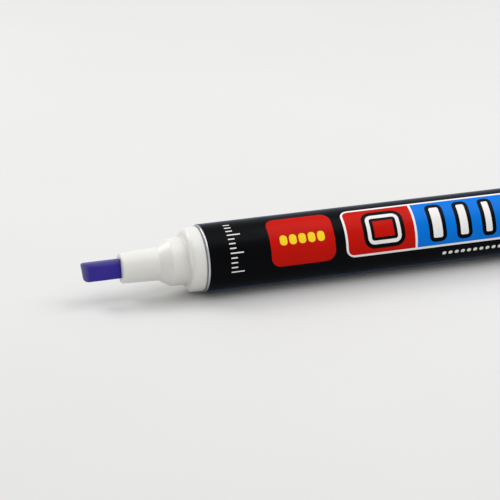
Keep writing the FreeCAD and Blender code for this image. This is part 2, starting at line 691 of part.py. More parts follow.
os.makedirs("parts", exist_ok=True)
for part in parts:
    part.Shape.exportStep("parts/" + part.Label + ".step")
    box = part.Shape.BoundBox
    print("%-22s %d solid(s) %9.2f mm3  x %7.2f..%7.2f" % (
        part.Label, len(part.Shape.Solids), part.Shape.Volume, box.XMin, box.XMax))
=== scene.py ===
from math import ceil, cos, floor, pi, radians, sin

import bmesh
import bpy
from mathutils import Matrix, Vector, noise


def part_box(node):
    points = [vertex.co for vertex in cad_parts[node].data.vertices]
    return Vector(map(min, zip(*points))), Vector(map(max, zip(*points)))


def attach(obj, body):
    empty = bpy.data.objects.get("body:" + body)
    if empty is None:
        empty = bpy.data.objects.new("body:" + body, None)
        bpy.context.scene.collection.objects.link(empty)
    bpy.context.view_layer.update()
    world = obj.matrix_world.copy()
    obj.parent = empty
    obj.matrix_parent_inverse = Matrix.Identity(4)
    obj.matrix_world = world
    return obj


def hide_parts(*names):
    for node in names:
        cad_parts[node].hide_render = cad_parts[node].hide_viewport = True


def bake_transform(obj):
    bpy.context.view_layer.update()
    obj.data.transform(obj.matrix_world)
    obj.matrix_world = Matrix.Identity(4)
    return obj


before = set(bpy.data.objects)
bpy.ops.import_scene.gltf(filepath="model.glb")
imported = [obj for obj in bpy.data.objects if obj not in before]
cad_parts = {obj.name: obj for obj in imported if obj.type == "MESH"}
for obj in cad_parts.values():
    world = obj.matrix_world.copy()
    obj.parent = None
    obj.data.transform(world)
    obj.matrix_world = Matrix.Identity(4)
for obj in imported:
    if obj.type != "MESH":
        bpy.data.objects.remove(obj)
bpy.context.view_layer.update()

bl_info = {
    "name": "Paint marker",
    "version": (1, 0, 0),
    "blender": (4, 5, 0),
    "location": "View3D > Sidebar > Marker",
    "description": "Finishes a double-ended paint marker and sets it on a studio table",
    "category": "Object",
}

MM = 0.001
TUBE_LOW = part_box("barrel_tube")[0]
LABEL_LOW, LABEL_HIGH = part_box("barrel_label")
AXIS_Z = (LABEL_LOW.z + LABEL_HIGH.z) / 2
RADIUS = max(Vector((point.co.y, point.co.z - AXIS_Z)).length
             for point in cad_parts["barrel_label"].data.vertices)


# ------------------------------------------------------------------ settings

def length(name, description, default):
    """A size in metres, shown with the scene's unit."""
    return bpy.props.FloatProperty(
        name=name, description=description, default=default, unit="LENGTH", precision=5)


def angle(name, description, default):
    """An angle, given in degrees."""
    return bpy.props.FloatProperty(
        name=name, description=description, default=radians(default), subtype="ANGLE")


def colour(name, description, default):
    """A linear colour."""
    return bpy.props.FloatVectorProperty(
        name=name, description=description, default=default, size=3, min=0, max=1, subtype="COLOR")


class MarkerInks(bpy.types.PropertyGroup):
    """Colours of the printed label and of the paint."""
    black: colour("Film", "Black of the label film", (0.001, 0.0012, 0.0018))
    red: colour("Red ink", "Block and field at the chisel side", (0.5, 0.006, 0.002))
    blue: colour("Blue ink", "Field at the bullet side", (0.001, 0.165, 0.66))
    white: colour("White ink", "Keyline, ticks and signs", (0.82, 0.8, 0.79))
    yellow: colour("Yellow ink", "Dots in the red block", (0.95, 0.66, 0.02))
    paint: colour("Paint", "Violet-blue of the nibs and caps", (0.035, 0.022, 0.28))
    # Greyer violet: partly dried paint at the nibs' front, partly a painted highlight along their
    # upper edges.
    dried_and_highlight: colour("Dried paint and highlight", "Greyer violet on the nib's worn edges", (0.14, 0.135, 0.25))


class MarkerLabel(bpy.types.PropertyGroup):
    """Where the label is printed. Places along the barrel start at the chisel end of the tube."""
    upper: angle("Upper edge", "Top of the printed fields, above the front line", 80)
    lower: angle("Lower edge", "Bottom of the printed fields, below the front line", -9)
    ticks_start: length("Ticks from", "Start of the fill scale", 5.4 * MM)
    ticks_end: length("Ticks to", "End of the fill scale", 8.6 * MM)
    block_start: length("Block from", "Start of the red block", 15.2 * MM)
    block_end: length("Block to", "End of the red block", 31 * MM)
    panel_start: length("Panel from", "Start of the two-colour panel", 33.6 * MM)
    panel_end: length("Panel to", "End of the two-colour panel", 95 * MM)
    split: length("Split", "Line between the red and the blue field", 51.3 * MM)
    keyline: length("Keyline", "Width of the white line around the panel", 0.55 * MM)
    lift: length("Ink layer", "Height of one printed layer", 0.008 * MM)


class MarkerNib(bpy.types.PropertyGroup):
    """Shape of the chisel nib."""
    width: length("Width", "Broad face of the nib", 4.4 * MM)
    thickness: length("Thickness", "Thickness of the felt", 2.2 * MM)
    slant: length("Slant", "Lower front corner behind the upper one", 0.5 * MM)
    bevel: length("Bevel", "Worn bevel at the front of the broad faces", 0.55 * MM)
    roll: angle("Roll", "Turn of the nib about the barrel's axis", 12)


class MarkerSpring(bpy.types.PropertyGroup):
    """Valve springs."""
    wire: length("Wire", "Diameter of the wire", 0.35 * MM)
    coil: length("Coil", "Diameter of the coil, at the middle of the wire", 3.4 * MM)
    turns: bpy.props.FloatProperty(name="Turns", description="Turns of the wire", default=7.0)


class MarkerStage(bpy.types.PropertyGroup):
    """Camera."""
    azimuth: angle("Azimuth", "Camera's turn about the vertical", -18.6)
    elevation: angle("Elevation", "Camera's height above the table", 21.5)
    distance: length("Distance", "Camera to the point it looks at", 0.4914)
    lens: bpy.props.FloatProperty(
        name="Lens", description="Focal length in millimetres", default=151.5)
    aim_along: length("Aim along", "Looked-at point, from the chisel end of the tube", 12.52 * MM)
    aim_height: length("Aim height", "Looked-at point, above the table", 8.57 * MM)


# ------------------------------------------------------------------ node groups

def socket(group, name, kind, direction, default=None):
    """A named input or output of a node group."""
    made = group.interface.new_socket(
        name=name, in_out=direction, socket_type="NodeSocket" + kind)
    if default is not None:
        made.default_value = default


def new_group(name, inputs, outputs):
    """An empty shader node group with its sockets, and its two end nodes."""
    group = bpy.data.node_groups.new(name, "ShaderNodeTree")
    for title, kind, default in inputs:
        socket(group, title, kind, "INPUT", default)
    for title, kind in outputs:
        socket(group, title, kind, "OUTPUT")
    return group, group.nodes.new("NodeGroupInput"), group.nodes.new("NodeGroupOutput")


def node(tree, kind, settings=None, **values):
    """A node with attributes from settings, and inputs given as values or as sockets to link.

    An input is named by its title, with _ for a space, or by its number after a leading _.
    """
    made = tree.nodes.new("ShaderNode" + kind)
    for name, setting in (settings or {}).items():
        setattr(made, name, setting)
    for name, given in values.items():
        key = int(name[1:]) if name[0] == "_" else name.replace("_", " ")
        target = made.inputs[key]
        if isinstance(given, bpy.types.NodeSocket):
            tree.links.new(given, target)
        else:
            target.default_value = given
    return made


def maths(tree, operation, first, second=0.0):
    """The result of a math node."""
    return node(tree, "Math", {"operation": operation}, _0=first, _1=second).outputs[0]


def grain_group():
    """Fine moulded or printed grain: a height, and a slow tone that varies over the surface."""
    group, start, end = new_group(
        "Fine grain",
        [("Position", "Vector", None), ("Fineness", "Float", 4000.0), ("Patches", "Float", 120.0)],
        [("Height", "Float"), ("Tone", "Float")])
    fine = node(group, "TexNoise", Vector=start.outputs["Position"],
                Scale=start.outputs["Fineness"], Detail=3.0, Roughness=0.6)
    slow = node(group, "TexNoise", Vector=start.outputs["Position"],
                Scale=start.outputs["Patches"], Detail=4.0, Roughness=0.55)
    group.links.new(fine.outputs["Fac"], end.inputs["Height"])
    group.links.new(slow.outputs["Fac"], end.inputs["Tone"])
    return group


def handling_group():
    """Marks of handling: soft finger smudges and a few fine scratches, as one mask."""
    group, start, end = new_group(
        "Handling marks",
        [("Position", "Vector", None), ("Smudges", "Float", 90.0), ("Scratches", "Float", 700.0)],
        [("Mask", "Float")])
    smudge = node(group, "TexNoise", Vector=start.outputs["Position"],
                  Scale=start.outputs["Smudges"], Detail=5.0, Roughness=0.62, Distortion=1.2)
    soft = node(group, "MapRange", Value=smudge.outputs["Fac"], From_Min=0.48, From_Max=0.72)
    stretched = node(group, "Mapping", Vector=start.outputs["Position"],
                     Rotation=(0.3, 0.2, 0.5), Scale=(0.06, 1.0, 1.0))
    hair = node(group, "TexNoise", Vector=stretched.outputs[0], Scale=start.outputs["Scratches"],
                Detail=2.0, Roughness=0.5)
    thin = node(group, "MapRange", Value=hair.outputs["Fac"], From_Min=0.69, From_Max=0.74)
    faint = maths(group, "MULTIPLY", thin.outputs[0], 0.5)
    both = maths(group, "MAXIMUM", soft.outputs[0], faint)
    group.links.new(both, end.inputs["Mask"])
    return group


def edge_wear_group():
    """Wear where an edge stands out, broken up by noise."""
    group, start, end = new_group(
        "Edge wear",
        [("Position", "Vector", None), ("Breakup", "Float", 900.0), ("Reach", "Float", 0.12)],
        [("Mask", "Float")])
    edge = node(group, "NewGeometry")
    high = maths(group, "ADD", start.outputs["Reach"], 0.5)
    sharp = node(group, "MapRange", Value=edge.outputs["Pointiness"], From_Min=0.53, From_Max=high)
    patches = node(group, "TexNoise", Vector=start.outputs["Position"],
                   Scale=start.outputs["Breakup"], Detail=4.0, Roughness=0.6)
    chipped = node(group, "MapRange", Value=patches.outputs["Fac"], From_Min=0.4, From_Max=0.6)
    worn = maths(group, "MULTIPLY", sharp.outputs[0], chipped.outputs[0])
    group.links.new(worn, end.inputs["Mask"])
    return group


def fibre_group():
    """Felt fibres that run along the nib, with short crossing ones."""
    group, start, end = new_group(
        "Felt fibres",
        [("Position", "Vector", None), ("Fineness", "Float", 5200.0)],
        [("Height", "Float"), ("Tone", "Float")])
    along = node(group, "Mapping", Vector=start.outputs["Position"], Scale=(0.09, 1.0, 1.0))
    fibres = node(group, "TexNoise", Vector=along.outputs[0], Scale=start.outputs["Fineness"],
                  Detail=4.0, Roughness=0.65, Distortion=0.4)
    across = node(group, "Mapping", Vector=start.outputs["Position"],
                  Rotation=(0.0, 0.5, 0.6), Scale=(1.0, 0.25, 0.5))
    short = node(group, "TexNoise", Vector=across.outputs[0], Scale=2600.0, Detail=3.0,
                 Roughness=0.6)
    crossing = maths(group, "MULTIPLY", short.outputs["Fac"], 0.6)
    both = maths(group, "ADD", fibres.outputs["Fac"], crossing)
    pools = node(group, "TexNoise", Vector=start.outputs["Position"], Scale=420.0, Detail=5.0)
    group.links.new(both, end.inputs["Height"])
    group.links.new(pools.outputs["Fac"], end.inputs["Tone"])
    return group


def turned_group():
    """Fine lines around the barrel's axis, as a drawing die or a lathe leaves them."""
    group, start, end = new_group(
        "Turned lines",
        [("Position", "Vector", None), ("Fineness", "Float", 9000.0)],
        [("Height", "Float"), ("Tone", "Float")])
    flat = node(group, "Mapping", Vector=start.outputs["Position"], Scale=(1.0, 0.03, 0.03))
    lines = node(group, "TexNoise", Vector=flat.outputs[0], Scale=start.outputs["Fineness"],
                 Detail=3.0, Roughness=0.7)
    bands = node(group, "TexNoise", Vector=flat.outputs[0], Scale=1100.0, Detail=2.0)
    group.links.new(lines.outputs["Fac"], end.inputs["Height"])
    group.links.new(bands.outputs["Fac"], end.inputs["Tone"])
    return group


GROUP_MAKERS = {
    "Fine grain": grain_group,
    "Handling marks": handling_group,
    "Edge wear": edge_wear_group,
    "Felt fibres": fibre_group,
    "Turned lines": turned_group,
}


def effect(tree, name, position, **values):
    """A shared effect placed in a material with its own values."""
    shared = bpy.data.node_groups.get(name) or GROUP_MAKERS[name]()
    made = tree.nodes.new("ShaderNodeGroup")
    made.node_tree = shared
    tree.links.new(position, made.inputs["Position"])
    for title, value in values.items():
        made.inputs[title].default_value = value
    return made


# ------------------------------------------------------------------ materials

def new_material(name):
    """A material with its node tree, its shader and object coordinates."""
    material = bpy.data.materials.new(name)
    material.use_nodes = True
    tree = material.node_tree
    shader = tree.nodes["Principled BSDF"]
    position = tree.nodes.new("ShaderNodeTexCoord").outputs["Object"]
    return material, tree, shader, position


def blend_colours(tree, factor, first, second):
    """A colour that runs from the first to the second with a varying factor."""
    mix = node(tree, "Mix", {"data_type": "RGBA"})
    tree.links.new(factor, mix.inputs["Factor"])
    for index, given in ((6, first), (7, second)):
        if isinstance(given, bpy.types.NodeSocket):
            tree.links.new(given, mix.inputs[index])
        else:
            mix.inputs[index].default_value = (*given, 1.0)
    return mix.outputs[2]


def spread(tree, factor, low, high, start=0.3, stop=0.7):
    """A number that runs from low to high over the middle of a varying factor."""
    ranged = node(tree, "MapRange", Value=factor, From_Min=start, From_Max=stop,
                  To_Min=low, To_Max=high)
    return ranged.outputs[0]


def shade(share, base):
    """A colour made lighter or darker by a share."""
    return tuple(min(1.0, part * share) for part in base)


def bump(tree, shader, height, strength, distance):
    """Raise the surface by a height."""
    made = node(tree, "Bump", Strength=strength, Distance=distance, Height=height)
    tree.links.new(made.outputs[0], shader.inputs["Normal"])


def film_material(name, base, smooth=0.3, rough=0.42, gloss=0.045):
    """Printed film: an even ink with slow density changes, finger marks and a soft cool gloss."""
    material, tree, shader, position = new_material(name)
    grain = effect(tree, "Fine grain", position, Fineness=1500.0, Patches=160.0)
    marks = effect(tree, "Handling marks", position)
    ink = blend_colours(tree, grain.outputs["Tone"], shade(0.86, base), shade(1.12, base))
    tree.links.new(ink, shader.inputs["Base Color"])
    tree.links.new(spread(tree, marks.outputs["Mask"], smooth, rough, 0.0, 1.0),
                   shader.inputs["Roughness"])
    shader.inputs["Specular IOR Level"].default_value = gloss
    shader.inputs["Sheen Weight"].default_value = 0.45
    shader.inputs["Sheen Roughness"].default_value = 0.25
    shader.inputs["Sheen Tint"].default_value = (0.35, 0.55, 1.0, 1.0)
    bump(tree, shader, grain.outputs["Height"], 0.08, 0.00001)
    return material


def moulded_material(name, base, roughness, subsurface=0.0, grain_size=3500.0, worn=0.0):
    """Moulded plastic: fine spark grain, slow tone, smudges, and paler rubbed edges."""
    material, tree, shader, position = new_material(name)
    grain = effect(tree, "Fine grain", position, Fineness=grain_size, Patches=140.0)
    marks = effect(tree, "Handling marks", position, Smudges=150.0)
    wear = effect(tree, "Edge wear", position)
    body = blend_colours(tree, grain.outputs["Tone"], shade(0.95, base), shade(1.04, base))
    rubbed = maths(tree, "MULTIPLY", wear.outputs["Mask"], worn)
    pale = tuple(part + (0.75 - part) * 0.4 for part in base)
    tree.links.new(blend_colours(tree, rubbed, body, pale), shader.inputs["Base Color"])
    tree.links.new(spread(tree, marks.outputs["Mask"], roughness, roughness + 0.14, 0.0, 1.0),
                   shader.inputs["Roughness"])
    shader.inputs["Subsurface Weight"].default_value = subsurface
    shader.inputs["Subsurface Radius"].default_value = (1.0, 0.95, 0.85)
    shader.inputs["Subsurface Scale"].default_value = 0.0016
    bump(tree, shader, grain.outputs["Height"], 0.16, 0.00003)
    return material


def felt_material(name, wet, dried_and_highlight, front, upper):
    """Pressed felt soaked with paint, greyer along its front and its upper edge. The grey along the
    front is partly dried paint and partly a painted highlight; the grey along the upper edge is a
    painted highlight, the top made lighter as if lit from above.

    front and upper are the (greyest, soaked) places of the two bands, along the barrel and in
    height.
    """
    material, tree, shader, position = new_material(name)
    fibres = effect(tree, "Felt fibres", position)
    place = node(tree, "SeparateXYZ", _0=position).outputs
    # Front band: partly dried paint, partly painted highlight. Upper band: painted highlight, paler
    # felt along the top where the light falls.
    bands = maths(tree, "MAXIMUM", spread(tree, place["X"], 1.0, 0.0, *front),
                  spread(tree, place["Z"], 0.0, 0.6, upper[1], upper[0]))
    dry_and_highlight_mask = maths(tree, "MULTIPLY", bands, spread(tree, fibres.outputs["Tone"], 0.65, 1.0))
    soaked = blend_colours(tree, fibres.outputs["Tone"], shade(0.9, wet), shade(1.1, wet))
    tree.links.new(blend_colours(tree, dry_and_highlight_mask, soaked, dried_and_highlight), shader.inputs["Base Color"])
    tree.links.new(spread(tree, fibres.outputs["Height"], 0.6, 0.85, 0.5, 1.1),
                   shader.inputs["Roughness"])
    shader.inputs["Specular IOR Level"].default_value = 0.2
    shader.inputs["Sheen Weight"].default_value = 0.04
    shader.inputs["Sheen Roughness"].default_value = 0.5
    bump(tree, shader, fibres.outputs["Height"], 0.25, 0.00002)
    return material


def metal_material(name, base, roughness):
    """Drawn or polished metal with fine lines around the axis."""
    material, tree, shader, position = new_material(name)
    lines = effect(tree, "Turned lines", position)
    marks = effect(tree, "Handling marks", position, Smudges=220.0)
    tone = blend_colours(tree, lines.outputs["Tone"], shade(0.85, base), shade(1.1, base))
    tree.links.new(tone, shader.inputs["Base Color"])
    tree.links.new(spread(tree, marks.outputs["Mask"], roughness, roughness + 0.15, 0.0, 1.0),
                   shader.inputs["Roughness"])
    shader.inputs["Metallic"].default_value = 1.0
    bump(tree, shader, lines.outputs["Height"], 0.25, 0.00001)
    return material


def rubber_material(name, base):
    """Dull rubber with a dusty bloom."""
    material, tree, shader, position = new_material(name)
    grain = effect(tree, "Fine grain", position, Fineness=6000.0, Patches=500.0)
    tone = blend_colours(tree, grain.outputs["Tone"], base, shade(2.2, base))
    tree.links.new(tone, shader.inputs["Base Color"])
    tree.links.new(spread(tree, grain.outputs["Tone"], 0.6, 0.8), shader.inputs["Roughness"])
    bump(tree, shader, grain.outputs["Height"], 0.3, 0.00002)
    return material


# ------------------------------------------------------------------ helpers

def coat(thing, material):
    """Give an object one material."""
    thing.data.materials.clear()
    thing.data.materials.append(material)


def coat_nodes(names, material):
    """Give CAD nodes one material."""
    for name in names:
        coat(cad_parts[name], material)


def both_ends(name):
    """The nodes of one kind at the chisel and at the bullet end."""
    return ["chisel_" + name, "bullet_" + name]


def add_piece(name, mesh_maker, material, body):
    """Link a new mesh object made by a function, smooth it and let it ride on a body."""
    mesh = bpy.data.meshes.new(name)
    bm = bmesh.new()
    mesh_maker(bm)
    bm.to_mesh(mesh)
    bm.free()
    mesh.shade_smooth()
    piece = bpy.data.objects.new(name, mesh)
    bpy.context.scene.collection.objects.link(piece)
    coat(piece, material)
    if body:
        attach(piece, body)
    return piece


def loft(bm, rings, close_start=True, close_end=True):
    """Skin a list of rings with the same number of points."""
    made = [[bm.verts.new(point) for point in ring] for ring in rings]
    count = len(rings[0])
    for first, second in zip(made, made[1:]):
        for index in range(count):
            after = (index + 1) % count
            bm.faces.new((first[index], first[after], second[after], second[index]))
    for ring, wanted in ((made[0], close_start), (made[-1], close_end)):
        if wanted:
            middle = bm.verts.new(sum((vert.co for vert in ring), Vector()) / count)
            for index in range(count):
                bm.faces.new((ring[index], ring[(index + 1) % count], middle))
    bmesh.ops.recalc_face_normals(bm, faces=bm.faces)


def roughen(bm, amount, size):
    """Move each point a little along its normal, so that pressed felt has no machined faces."""
    bm.normal_update()
    shifts = [amount * noise.noise(vert.co / size) for vert in bm.verts]
    for vert, shift in zip(bm.verts, shifts):
        vert.co += vert.normal * shift


# ------------------------------------------------------------------ label print

# Overlap of the film at the back
SEAM_HALF = 2.5 * MM
SEAM_START = 0.7 * MM
SEAM_STOP_SHORT = 0.3 * MM
SEAM_CORNER = 0.2 * MM

# Fill scale
TICK_COUNT = 12
LONG_TICK_EVERY = 4
TICK_WIDTH = 0.3 * MM
TICK_CORNER = 0.12 * MM

# Corners of the printed fields
BLOCK_CORNER = 2.4 * MM
FIELD_CORNER = 1.8 * MM
SPLIT_CORNER = 0.05 * MM

# Dots in the red block
DOT_COUNT = 5
DOT_GAP = 0.5 * MM
DOT_HALF = 1.2 * MM
DOT_CORNER = 0.8 * MM

# Signs on the panel: a rounded square for the nib, then bars as wide as the lines it draws
TIP_START = 5.6 * MM
TIP_END = 14 * MM
TIP_HALF = 3.6 * MM
TIP_CORNER = 1.6 * MM
TIP_RIM = 0.9 * MM
TIP_MIDDLE = 1.7 * MM
BAR_WIDTHS_MM = (2.4, 2.0, 1.6, 1.2, 0.8, 0.5)
BAR_START = 4.4 * MM
BAR_GAP_MM = 4.6
BAR_HALF = 3.8 * MM
BAR_CORNER_SHARE = 0.2
SIGN_OUTLINE = 1.0 * MM

# Row of dots under the panel
ROW_COUNT = 22
ROW_START = 7 * MM
ROW_PITCH = 1.6 * MM
ROW_DOT = 1.0 * MM
ROW_DROP = 2.6 * MM
ROW_CORNER = 0.4 * MM

# Ruled box at the back: its ends along the barrel, and its edges to both sides of the back line
BACK_START = 20 * MM
BACK_END = 78 * MM
BACK_BELOW = 6.5 * MM
BACK_ABOVE = 6.6 * MM
BACK_RULE = 0.25 * MM
BACK_CORNER = 1.4 * MM
BACK_FIELD_CORNER = 1.2 * MM

# Plain lines in that box: the longest one's length, each one's share of it, and 0 for a gap
LINE_MARGIN = 3 * MM
LINE_LENGTH = 52 * MM
LINE_SHARES = (1.0, 0.94, 0.97, 0.6, 0.0, 0.88, 1.0, 0.42)
LINE_START_MM = 1.6
LINE_PITCH_MM = 1.5
LINE_WIDTH = 0.4 * MM
LINE_CORNER = 0.15 * MM


def on_label(along, around, lift):
    """A point of the label, from metres along the tube and metres around from its front line."""
    turn = around / RADIUS
    reach = RADIUS + lift
    return Vector((TUBE_LOW.x + along, -reach * cos(turn), AXIS_Z + reach * sin(turn)))


def rolled(bm, outline, lift):
    """Fill a flat convex outline, cut it into narrow strips and roll it onto the label."""
    flat = bmesh.new()
    flat.faces.new([flat.verts.new((along, around, 0)) for along, around in outline])
    strip = RADIUS * radians(2)
    low = min(around for along, around in outline)
    high = max(around for along, around in outline)
    for index in range(ceil(low / strip), floor(high / strip) + 1):
        everything = flat.verts[:] + flat.edges[:] + flat.faces[:]
        bmesh.ops.bisect_plane(flat, geom=everything, dist=1e-8,
                               plane_co=(0, index * strip, 0), plane_no=(0, 1, 0))
    bmesh.ops.triangulate(flat, faces=[face for face in flat.faces if len(face.verts) > 4])
    flat.normal_update()
    if flat.faces[:][0].normal.z < 0:
        bmesh.ops.reverse_faces(flat, faces=flat.faces)
    copies = {vert: bm.verts.new(on_label(vert.co.x, vert.co.y, lift)) for vert in flat.verts}
    for face in flat.faces:
        bm.faces.new([copies[vert] for vert in face.verts])
    flat.free()


def rounded_box(low, high, corner, points=6):
    """The outline of a rounded rectangle between two (along, around) corners."""
    outline = []
    centres = ((high[0] - corner, high[1] - corner), (low[0] + corner, high[1] - corner),
               (low[0] + corner, low[1] + corner), (high[0] - corner, low[1] + corner))
    for quarter, (along, around) in enumerate(centres):
        for step in range(points + 1):
            turn = (quarter + step / points) * pi / 2
            outline.append((along + corner * cos(turn), around + corner * sin(turn)))
    return outline


def softened(corners, reaches, steps, side_steps):
    """A closed outline of flat corners, each rounded over its reach, with points along sides."""
    outline = []
    count = len(corners)
    for index in range(count):
        before, corner, after = corners[index - 1], corners[index], corners[(index + 1) % count]
        entry = corner + (before - corner).normalized() * reaches[index]
        leave = corner + (after - corner).normalized() * reaches[index]
        for step in range(steps + 1):
            share = step / steps
            outline.append(entry.lerp(corner, share).lerp(corner.lerp(leave, share), share))
        onward = after + (corner - after).normalized() * reaches[(index + 1) % count]
        for step in range(1, side_steps):
            outline.append(leave.lerp(onward, step / side_steps))
    return outline


def field(start, end, low, high, start_reach, end_reach):
    """The outline of a printed field whose two ends are rounded differently."""
    corners = [Vector(pair) for pair in ((start, high), (start, low), (end, low), (end, high))]
    return softened(corners, (start_reach, start_reach, end_reach, end_reach), 6, 1)


def printed(name, outlines, layer, material, label):
    """One printed piece of several outlines, on a layer of the print."""
    def fill(bm):
        for outline in outlines:
            rolled(bm, outline, layer * label.lift)
    return add_piece(name, fill, material, "barrel")


def outlined(outlines, margin):
    """Rounded boxes given as (low, high, corner), grown by a margin."""
    return [
        rounded_box((low[0] - margin, low[1] - margin), (high[0] + margin, high[1] + margin),
                    corner + margin)
        for low, high, corner in outlines
    ]


class MARKER_OT_label_print(bpy.types.Operator):
    """Print the label: seam, fill scale, red block, panel with line-width signs, ruled back box"""
    bl_idname = "marker.label_print"
    bl_label = "Label print"

    def execute(self, context):
        inks = context.scene.marker_inks
        label = context.scene.marker_label
        red, blue, white, yellow, black = (
            film_material(ink + " ink", tuple(getattr(inks, ink)))
            for ink in ("red", "blue", "white", "yellow", "black"))
        top = RADIUS * label.upper
        bottom = RADIUS * label.lower
        middle = (top + bottom) / 2
        back = pi * RADIUS

        label_end = LABEL_HIGH.x - TUBE_LOW.x
        printed("print_seam", [rounded_box(
            (SEAM_START, back - SEAM_HALF), (label_end - SEAM_STOP_SHORT, back + SEAM_HALF),
            SEAM_CORNER)], 1, black, label)

        ticks = []
        for index in range(TICK_COUNT):
            around = bottom + index * (top - bottom) / (TICK_COUNT - 1)
            end = label.ticks_end
            if index % LONG_TICK_EVERY:
                end = (label.ticks_start + label.ticks_end) / 2
            ticks.append(rounded_box(
                (label.ticks_start, around), (end, around + TICK_WIDTH), TICK_CORNER))
        printed("print_fill_scale", ticks, 1, white, label)

        printed("print_red_block", [rounded_box(
            (label.block_start, bottom), (label.block_end, top), BLOCK_CORNER)], 1, red, label)
        first, last = label.block_start + BLOCK_CORNER, label.block_end - BLOCK_CORNER
        wide = (last - first - (DOT_COUNT - 1) * DOT_GAP) / DOT_COUNT
        dots = []
        for index in range(DOT_COUNT):
            along = first + index * (wide + DOT_GAP)
            dots.append(rounded_box(
                (along, middle - DOT_HALF), (along + wide, middle + DOT_HALF), DOT_CORNER))
        printed("print_block_dots", dots, 2, yellow, label)

        start, end, key = label.panel_start, label.panel_end, label.keyline
        printed("print_panel_keyline", [rounded_box(
            (start, bottom), (end, top), BLOCK_CORNER)], 1, white, label)
        printed("print_red_field", [field(
            start + key, label.split - key / 2, bottom + key, top - key,
            FIELD_CORNER, SPLIT_CORNER)], 2, red, label)
        printed("print_blue_field", [field(
            label.split + key / 2, end - key, bottom + key, top - key,
            SPLIT_CORNER, FIELD_CORNER)], 2, blue, label)

        tip = ((start + TIP_START, middle - TIP_HALF), (start + TIP_END, middle + TIP_HALF),
               TIP_CORNER)
        signs = [tip]
        place = label.split + BAR_START
        for width in BAR_WIDTHS_MM:
            signs.append(((place, middle - BAR_HALF), (place + width * MM, middle + BAR_HALF),
                          width * BAR_CORNER_SHARE * MM))
            place += (width + BAR_GAP_MM) * MM
        printed("print_sign_outlines", outlined(signs, SIGN_OUTLINE), 3, black, label)
        printed("print_signs", outlined(signs, 0.0), 4, white, label)
        printed("print_sign_hollow", outlined([tip], -TIP_RIM), 5, black, label)
        printed("print_sign_middle", outlined([tip], -TIP_MIDDLE), 6, red, label)

        low, high = (BACK_START, back - BACK_BELOW), (BACK_END, back + BACK_ABOVE)
        line_end = high[0] - LINE_MARGIN
        lines = []
        for index, share in enumerate(LINE_SHARES):
            if share:
                around = low[1] + (LINE_START_MM + index * LINE_PITCH_MM) * MM
                lines.append(rounded_box((line_end - LINE_LENGTH * share, around),
                                         (line_end, around + LINE_WIDTH), LINE_CORNER))
        printed("print_back_keyline", [rounded_box(low, high, BACK_CORNER)], 2, white, label)
        printed("print_back_field", [rounded_box(
            (low[0] + BACK_RULE, low[1] + BACK_RULE),
            (high[0] - BACK_RULE, high[1] - BACK_RULE), BACK_FIELD_CORNER)], 3, black, label)
        printed("print_back_rows", lines, 4, white, label)

        row = []
        for index in range(ROW_COUNT):
            along = label.split + ROW_START + index * ROW_PITCH
            row.append(rounded_box((along, bottom - ROW_DROP),
                                   (along + ROW_DOT, bottom - ROW_DROP + ROW_DOT), ROW_CORNER))
        printed("print_dotted_line", row, 1, white, label)
        return {"FINISHED"}


# ------------------------------------------------------------------ pieces

# Layers through the felt's thickness: place as a share of it, inset in millimetres, share of bevel
FELT_LAYERS = ((-0.5, 0.16, 1.0), (-0.44, 0.05, 0.62), (-0.36, 0.0, 0.3), (-0.26, 0.0, 0.0),
               (0.26, 0.0, 0.0), (0.36, 0.0, 0.3), (0.44, 0.05, 0.62), (0.5, 0.16, 1.0))
FELT_CORNERS = (0.15 * MM, 0.6 * MM, 0.9 * MM, 0.15 * MM)

# Bullet point: a rod up to its shoulder, then a dome that stops just short of the nib's box
FELT_SPARE = 0.02 * MM
BULLET_SHOULDER = 2.6 * MM
BULLET_DOME = 1.5 * MM
DOME_STEPS = 8

# Spring coils: turns closed at each end, the share they climb, and how finely the wire is made
CLOSED_TURNS = 0.9
CLOSED_CLIMB = 0.055
STEPS_PER_TURN = 28
WIRE_SIDES = 8


class MARKER_OT_barrel(bpy.types.Operator):
    """Finish the tube, the label film, the gaskets and the divider inside"""
    bl_idname = "marker.barrel"
    bl_label = "Barrel"

    def execute(self, context):
        inks = context.scene.marker_inks
        coat_nodes(["barrel_tube"], metal_material("drawn aluminium", (0.66, 0.66, 0.67), 0.3))
        coat_nodes(["barrel_label"], film_material("black film", tuple(inks.black)))
        # The gaskets' dark grey lip shows as a thin line between the holder's flange and the tube's
        # rim; its darkness is partly the rubber's own and partly painted shade for the shaded gap
        # there.
        coat_nodes(both_ends("holder_gasket"),
                   rubber_material("gasket rubber", (0.12, 0.12, 0.12)))
        coat_nodes(["chamber_divider"],
                   moulded_material("divider plastic", (0.78, 0.78, 0.75), 0.45))
        coat_nodes(["divider_seals"], rubber_material("seal rubber", (0.02, 0.02, 0.02)))
        return {"FINISHED"}


class MARKER_OT_holders(bpy.types.Operator):
    """Finish the white tip holders"""
    bl_idname = "marker.holders"
    bl_label = "Tip holders"

    def execute(self, context):
        white = moulded_material("white holder plastic", (0.73, 0.725, 0.695), 0.3,
                                 subsurface=0.3, worn=0.15)
        coat_nodes(both_ends("holder"), white)
        return {"FINISHED"}


def chisel_felt(bm, low, high, nib):
    """A slanted felt bar: outlines of its broad face, stacked through its thickness."""
    turned = Matrix.Rotation(-nib.roll, 3, "X")
    centre = Vector((0, 0, AXIS_Z))
    rings = []
    for depth, inset, bevelled in FELT_LAYERS:
        half = nib.width / 2 - inset * MM
        front = low.x + bevelled * nib.bevel
        back = high.x - inset * MM
        corners = [Vector((back, half)), Vector((front, half)),
                   Vector((front + nib.slant, -half)), Vector((back, -half))]
        rings.append([turned @ Vector((point.x, depth * nib.thickness, point.y)) + centre
                      for point in softened(corners, FELT_CORNERS, 6, 14)])
    loft(bm, rings)
    roughen(bm, 0.015 * MM, 0.9 * MM)


